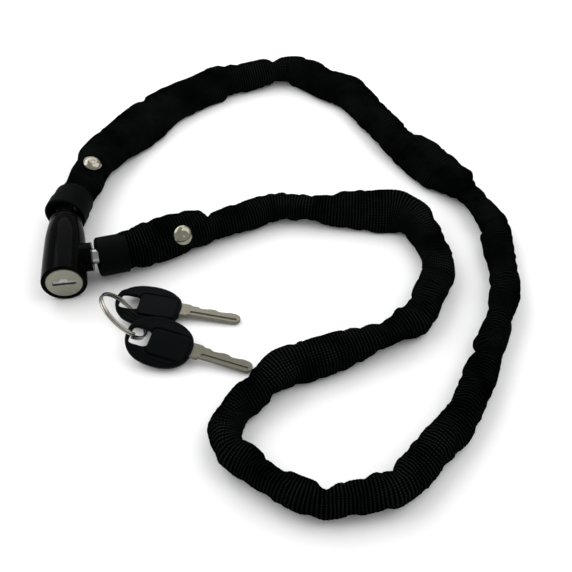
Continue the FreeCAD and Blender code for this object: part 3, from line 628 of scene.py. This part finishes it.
def map_cloth(piece, rings, u):
    """A UV map in metres: u along the sleeve, v round it."""
    count, sides, _ = rings.shape
    girth = np.linalg.norm(np.roll(rings, -1, 1) - rings, axis=2).sum(1).mean()
    v = np.arange(sides + 1) / sides * girth
    i, j = np.divmod(np.arange((count - 1) * sides), sides)
    corners_u = np.stack([u[i], u[i], u[i + 1], u[i + 1]], 1)
    corners_v = np.stack([v[j], v[j + 1], v[j + 1], v[j]], 1)
    layer = piece.data.uv_layers.new(name="cloth")
    layer.data.foreach_set("uv", np.stack([corners_u.ravel(), corners_v.ravel()], 1).ravel())


def fabric_piece(name, rings, u, stands_for):
    """One visible piece of the sleeve, in place of a plain CAD node."""
    piece = grid_object(name, rings)
    map_cloth(piece, rings, u)
    piece.data.materials.append(bpy.data.materials["woven nylon"])
    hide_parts(stands_for)
    return piece


def fabric_tube(name, line, outline, inside):
    """One length of the sleeve: shaped, pushed clear of the chain, crumpled and ribbed."""
    where = np.arange(outline[0][0] * MM, outline[-1][0] * MM, COARSE)
    rings = clear_of(sleeve_rings(line, where, outline), inside)
    rings = clear_of(crumpled(rings, name), inside)
    rings[..., 2] = np.maximum(rings[..., 2], FLOOR)
    rings = ribbed(finer(rings))
    u = np.linspace(where[0], where[-1], len(rings))
    return rings, u, at(line, where)


def hemmed(rings, u, at_start=False):
    """The last rings again, turned in under the edge, so that no cut edge shows."""
    if at_start:
        rings, u = hemmed(rings[::-1], u[::-1])
        return rings[::-1], u[::-1]
    tucked = rings[-HEM_RINGS:]
    middle = tucked.mean(axis=1)[:, None]
    tucked = middle + (tucked - middle) * HEM_TUCK
    return np.concatenate([rings, tucked[::-1]]), np.concatenate([u, u[-HEM_RINGS:][::-1]])


def tree_of(*names):
    """Trees for finding the CAD nodes' surfaces."""
    trees = []
    for name in names:
        mesh = frame["nodes"][name].data
        faces = [tuple(p.vertices) for p in mesh.polygons]
        trees.append(BVHTree.FromPolygons([v.co for v in mesh.vertices], faces))
    return trees


def add_sleeve():
    line = route_line()
    weave(RIB)
    chain = tree_of("chain_links", "slack_link_1", "slack_link_2", "slack_link_3", "end_links")
    rings, u, centre = fabric_tube("sleeve", line, OUTLINE, chain)
    split = int(np.searchsorted(u, GATHER_FROM))
    sleeve = fabric_piece("sleeve", rings[: split + 1], u[: split + 1], "chain_sleeve")
    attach(sleeve, "root")
    gathered = fabric_piece("sleeve_near_bolt", rings[split:], u[split:], "chain_sleeve")
    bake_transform(gathered)
    rings_a, u_a, _ = fabric_tube("sleeve_end_a", line, END_A, chain)
    end_a = fabric_piece("sleeve_end_a", *hemmed(rings_a, u_a), "cuff_a")
    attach(end_a, "root")
    rings_b, u_b, _ = fabric_tube("sleeve_end_b", line, END_B, chain)
    end_b = fabric_piece("sleeve_end_b", *hemmed(rings_b, u_b, at_start=True), "cuff_b")
    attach(end_b, "bolt_end")


# ---------------------------------------------------------------- keys, in mm

# Where each key's hole is, in mm, then its yaw, dip and roll in degrees.
KEYS = {1: ((31.37, -12.44, -5.9), -17.5, 4.5, 0), 2: ((35.89, -38.32, -3.3), -24.0, 7.0, 13)}
BOW_HALF_L, BOW_HALF_W, BOW_HALF_T = 16.5, 12.9, 2.1
BOW_MIDDLE = (9.6, 0.8)
BOW_POWER = 2.25
BOW_CROWN = 0.35
BOW_SEARCH = (4.0, 40.0)  # nearest and furthest that the bow's outline can be from the hole's centre
BOW_SEARCH_STEPS = 40
ANGLES = 220
TOP_LOOPS, UNDER_LOOPS = 90, 40
HOLE_HALF_L, HOLE_HALF_W = 4.7, 4.6
HOLE_POWER = 5
HOLE_DROP, HOLE_ROUNDING = 0.4, 0.25
# Each is a rounded rectangle: its middle, half length, half width and corner radius.
PANEL = ((14.6, -0.4), 9.4, 6.6, 2.4)
RELIEF = ((0.3, 0), 9, 8.4, 1.0)
PANEL_RISE = 0.5
RELIEF_DEPTH = 1.8
UNDER_EDGE_RISE, UNDER_EDGE_FROM = 0.6, 0.97
GROOVE_AT, GROOVE_HALF_W, GROOVE_DEPTH = 0.5, 0.4, 0.7
STEP_DEPTHS = {0: 0.55, 1.5: 0.5}  # distance past the step's line: depth
# Over what distance each change of height is spread; under the rim it is a share of the reach.
STEP_SPREAD, GROOVE_SPREAD, PANEL_SPREAD = 0.25, 0.3, 0.35
HOLE_SPREAD = RELIEF_SPREAD = 0.5
UNDER_EDGE_SPREAD = 0.04
EDGE_ROUNDING = 1.3
EDGE_DROP, EDGE_DROP_OVER_BLADE = 0.8, 0.1
RIM_DROP = 0.7
RIM_SHARES = (0.25, 0.5, 0.75)
BLADE_Y = 1.2
BLADE_IN_BOW_X, BLADE_IN_BOW_HALF_W = 10, 4.6
COVER_OVER_BLADE = 1.2
# The moulded steps either side of the panel: where each runs, as (x, y) from the hole's centre.
STEP_FAR = [(-7, 6.6), (3, 6.8), (6, 9.2), (12, 9.1), (22, 7.6)]
STEP_NEAR = [(-7, -6.2), (0.5, -5.6), (4.5, -8.2), (7.5, -9.4), (17, -9.6), (24, -7.4)]
BLADE_START_X = 14.0
BLADE_LENGTH = 30  # past the bow's end
BLADE_HALF_W, BLADE_HALF_T = 3.8, 1.0
BLADE_BEVEL = 0.3
BLADE_STATION = 0.3
TIP_R = 3
TIP_STATIONS = 12
TIP_BLUNTNESS = 0.0004  # keeps the last station from closing to a point
SHOULDER_X, SHOULDER_DEPTH, SHOULDER_SPREAD = 3.5, 0.8, 1.0
MILLED_FROM, MILLED_TO_TIP, MILLED_DEPTH, MILLED_SPREAD = 5, 2, 0.65, 0.6
MILLED_Y = (-1.9, -1.6, -0.7, -0.4)
# The cut edge, from the bow's end: distance along and depth of cut.
CUTS = [
    (0, 0), (4, 0), (5.5, 0.7), (8, 0.6), (9.5, 1.4), (12.5, 1.2), (14.5, 0.7), (17, 0.8),
    (19, 1.6), (22.5, 1.3), (24.5, 0.9), (27, 1.1), (30, 1.2),
]


def key_matrix(number):
    """From a key's own millimetres, with the hole's centre at the origin, to its place."""
    place, yaw, dip, roll = KEYS[number]
    turn = Matrix.Rotation(math.radians(yaw), 4, "Z")
    turn = turn @ Matrix.Rotation(math.radians(dip), 4, "Y") @ Matrix.Rotation(math.radians(roll), 4, "X")
    return Matrix.Translation(Vector(place) * MM) @ turn @ Matrix.Scale(MM, 4)


def step(values, spread):
    """From 0 to 1 as values pass through zero, over the given spread."""
    share = np.clip(values / spread + 0.5, 0, 1)
    return share * share * (3 - 2 * share)


def box_distance(x, y, middle, half_x, half_y, corner):
    """Signed distance to a rounded rectangle, negative inside."""
    over_x = np.abs(x - middle[0]) - half_x + corner
    over_y = np.abs(y - middle[1]) - half_y + corner
    outside = np.hypot(np.maximum(over_x, 0), np.maximum(over_y, 0))
    return outside + np.minimum(np.maximum(over_x, over_y), 0) - corner


def bow_top(x, y, to_edge):
    """Height of the bow's upper face: a raised panel in a groove, stepped lines, rounded edge."""
    panel = box_distance(x, y, *PANEL)
    height = BOW_HALF_T - PANEL_RISE - BOW_CROWN * ((y - BOW_MIDDLE[1]) / BOW_HALF_W) ** 2
    height = height + PANEL_RISE * step(-panel, PANEL_SPREAD)
    height = height - GROOVE_DEPTH * step(GROOVE_HALF_W - np.abs(panel - GROOVE_AT), GROOVE_SPREAD)
    far = y - np.interp(x, *zip(*STEP_FAR))
    near = np.interp(x, *zip(*STEP_NEAR)) - y
    for over in (far, near):
        for past, depth in STEP_DEPTHS.items():
            height = height - depth * step(over - past, STEP_SPREAD)
    over_blade = (np.abs(y - BLADE_Y) < BLADE_IN_BOW_HALF_W) & (x > BLADE_IN_BOW_X)
    height = np.where(over_blade, np.maximum(height, COVER_OVER_BLADE), height)
    share = np.clip(to_edge / EDGE_ROUNDING, 0, 1)
    drop = np.where(over_blade, EDGE_DROP_OVER_BLADE, EDGE_DROP)
    return height - drop * (1 - np.sqrt(1 - (1 - share) ** 2))


def bow_edge(cos, sin):
    """How far the bow's outline is from the hole's centre at each angle, found by halving."""
    low, high = (np.full_like(cos, reach) for reach in BOW_SEARCH)
    for _ in range(BOW_SEARCH_STEPS):
        middle = (low + high) / 2
        over_x = np.abs(middle * cos - BOW_MIDDLE[0]) / BOW_HALF_L
        over_y = np.abs(middle * sin - BOW_MIDDLE[1]) / BOW_HALF_W
        inside = over_x**BOW_POWER + over_y**BOW_POWER < 1
        low, high = np.where(inside, middle, low), np.where(inside, high, middle)
    return low


def bow_mesh(name):
    """A bow as one closed surface: over the top, down the rim, back below, up through the hole."""
    angles = np.linspace(0, 2 * math.pi, ANGLES, endpoint=False)
    cos, sin = np.cos(angles), np.sin(angles)
    hole = np.abs(cos / HOLE_HALF_L) ** HOLE_POWER + np.abs(sin / HOLE_HALF_W) ** HOLE_POWER
    hole = hole ** (-1 / HOLE_POWER)
    edge = bow_edge(cos, sin)
    loops = []
    for share in np.linspace(0, 1, TOP_LOOPS):
        reach = hole + (edge - hole) * share
        x, y = reach * cos, reach * sin
        at_hole = step(HOLE_ROUNDING - (reach - hole), HOLE_SPREAD)
        z = bow_top(x, y, edge - reach) - HOLE_DROP * at_hole
        loops.append(np.stack([x, y, z], 1))
    rim = loops[-1]
    for share in RIM_SHARES:
        z = rim[:, 2] + (RIM_DROP - BOW_HALF_T - rim[:, 2]) * share
        loops.append(np.stack([rim[:, 0], rim[:, 1], z], 1))
    for share in np.linspace(1, 0, UNDER_LOOPS):
        reach = hole + (edge - hole) * share
        x, y = reach * cos, reach * sin
        z = -BOW_HALF_T + RELIEF_DEPTH * step(-box_distance(x, y, *RELIEF), RELIEF_SPREAD)
        z = z + UNDER_EDGE_RISE * step(share - UNDER_EDGE_FROM, UNDER_EDGE_SPREAD)
        loops.append(np.stack([x, y, z], 1))
    mesh = mesh_of(name, np.array(loops), quads(len(loops), ANGLES, joined=True, flipped=True))
    mesh.polygons.foreach_set("use_smooth", [True] * len(mesh.polygons))
    return mesh


def blade_mesh(name):
    """A blade: a plate with a wavy cut edge, bevelled sides, a milled groove and a rounded tip."""
    bow_end = BOW_MIDDLE[0] + BOW_HALF_L
    tip = bow_end + BLADE_LENGTH
    rounding = tip - TIP_R * np.cos(np.linspace(0, math.pi / 2, TIP_STATIONS))
    x = np.concatenate([np.arange(BLADE_START_X, tip - TIP_R, BLADE_STATION), rounding])
    far = BLADE_HALF_W - np.interp(x - bow_end, *zip(*CUTS))
    near = BLADE_HALF_W - SHOULDER_DEPTH * step(x - bow_end - SHOULDER_X, SHOULDER_SPREAD)
    past_tip_start = np.clip((x - tip + TIP_R) / TIP_R, 0, 1)
    round_off = np.sqrt(np.clip(1 - past_tip_start**2, TIP_BLUNTNESS, 1))
    far, near = far * round_off, near * round_off
    milled = step(x - bow_end - MILLED_FROM, MILLED_SPREAD)
    milled = milled * step(tip - MILLED_TO_TIP - x, MILLED_SPREAD)
    top, sunk = BLADE_HALF_T, BLADE_HALF_T - MILLED_DEPTH * milled
    side_top = BLADE_HALF_T - BLADE_BEVEL
    side_bottom = -BLADE_HALF_T + BLADE_BEVEL
    profile = [(-near, side_bottom), (-near, side_top), (-near + BLADE_BEVEL, top)]
    profile += [(y * round_off, z) for y, z in zip(MILLED_Y, (top, sunk, sunk, top))]
    profile += [(far - BLADE_BEVEL, top), (far, side_top), (far, side_bottom)]
    profile += [(far - BLADE_BEVEL, -top), (-near + BLADE_BEVEL, -top)]
    rings = np.stack([np.stack([x, BLADE_Y + y + 0 * x, z + 0 * x], 1) for y, z in profile], axis=1)
    count, sides, _ = rings.shape
    faces = quads(count, sides, flipped=True)
    faces += [tuple(range(sides)), tuple(reversed(range((count - 1) * sides, count * sides)))]
    return mesh_of(name, rings, faces)


def add_keys(finish):
    for number in KEYS:
        body = "key_%d" % number
        for part, make, slot in (("bow", bow_mesh, "bow_plastic"), ("blade", blade_mesh, "key_nickel")):
            name = body + "_" + part
            mesh = make(name + "_shape")
            mesh.transform(key_matrix(number))
            mesh.materials.append(finish[slot])
            piece = add_object(name + "_shape", mesh)
            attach(piece, body)
            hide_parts(name)


# ---------------------------------------------------------------- the whole scene

add_studio()
add_camera()
finish = paint_cad()
add_sleeve()
add_keys(finish)
